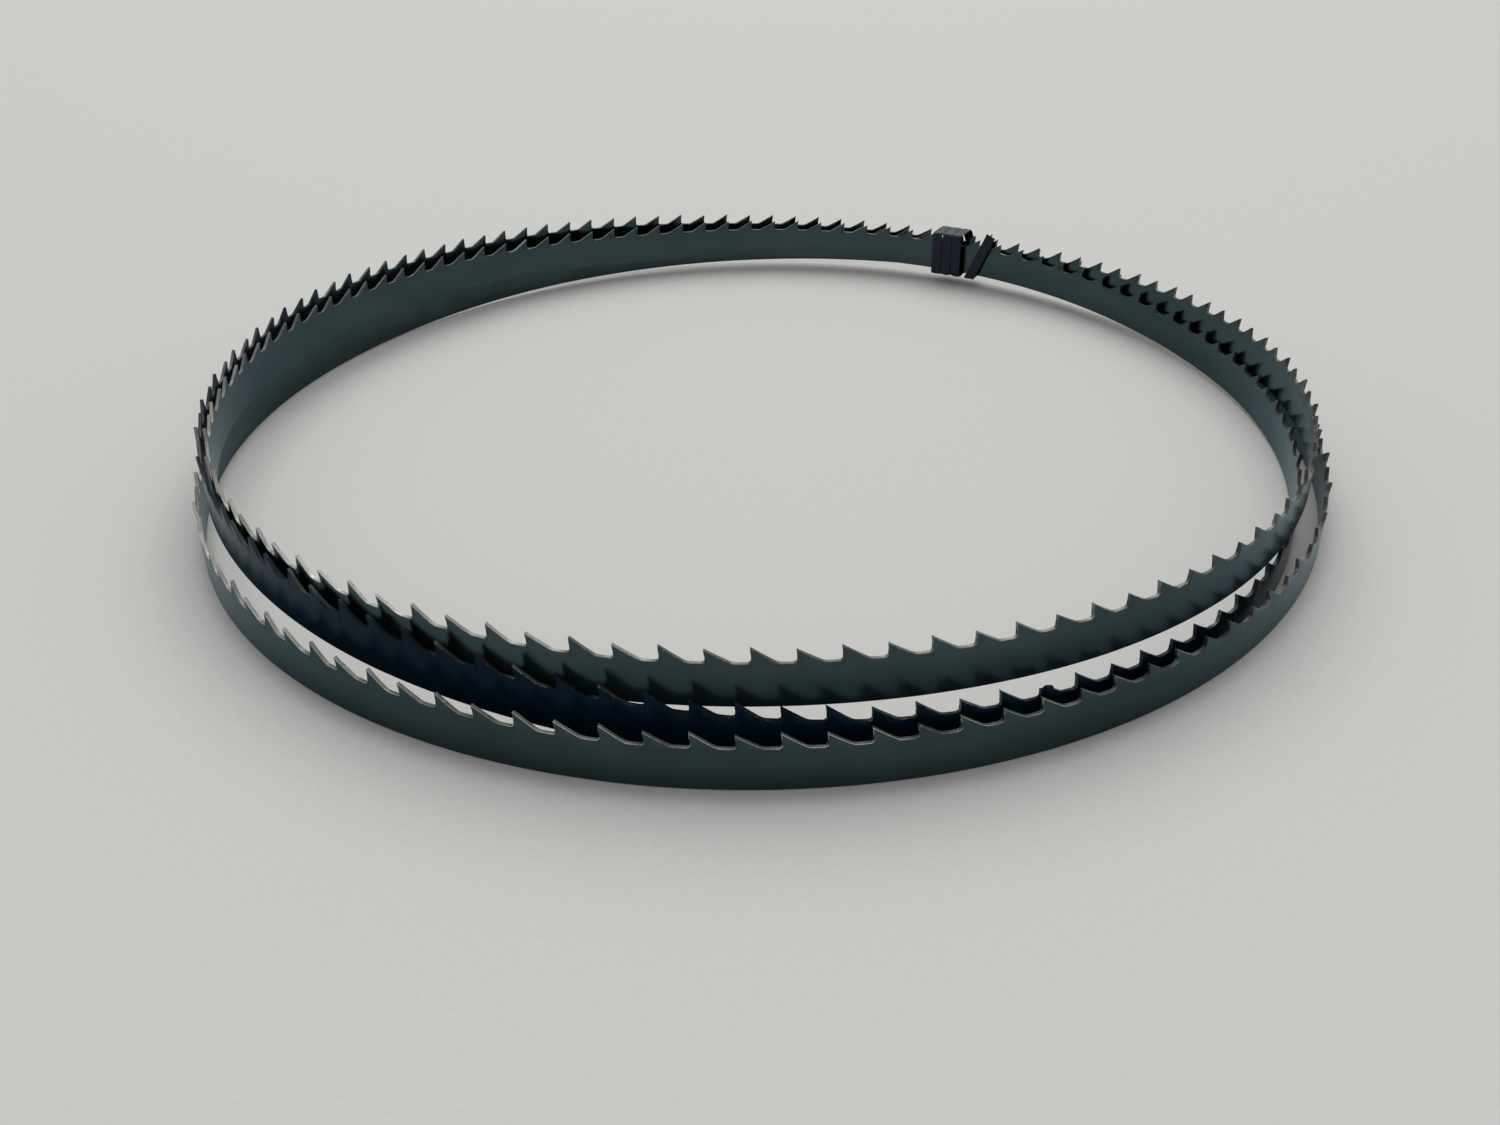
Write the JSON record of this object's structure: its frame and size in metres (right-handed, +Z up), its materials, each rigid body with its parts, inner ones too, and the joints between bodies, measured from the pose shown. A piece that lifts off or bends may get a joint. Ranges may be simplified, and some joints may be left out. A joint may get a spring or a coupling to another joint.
{
  "type": "band saw blade",
  "caption": "Endless toothed steel band, coiled in overlapping turns and held together by a twist tie.",
  "frame": {"origin": "middle of the coil as seen from above, on the surface that it lies on", "axes": "+Z up, with the teeth pointing up; the coil's axis is along Z; the side towards the camera is -Y"},
  "size_m": [0.2206, 0.233, 0.0198],
  "materials": {
    "band_steel": "satin dark blued steel, bare and bright along the tooth edges",
    "tie_plastic": "dark blue plastic over a soft wire"
  },
  "bodies": {
    "root": {"blade": "band_steel", "tie": "tie_plastic"}
  },
  "joints": []
}
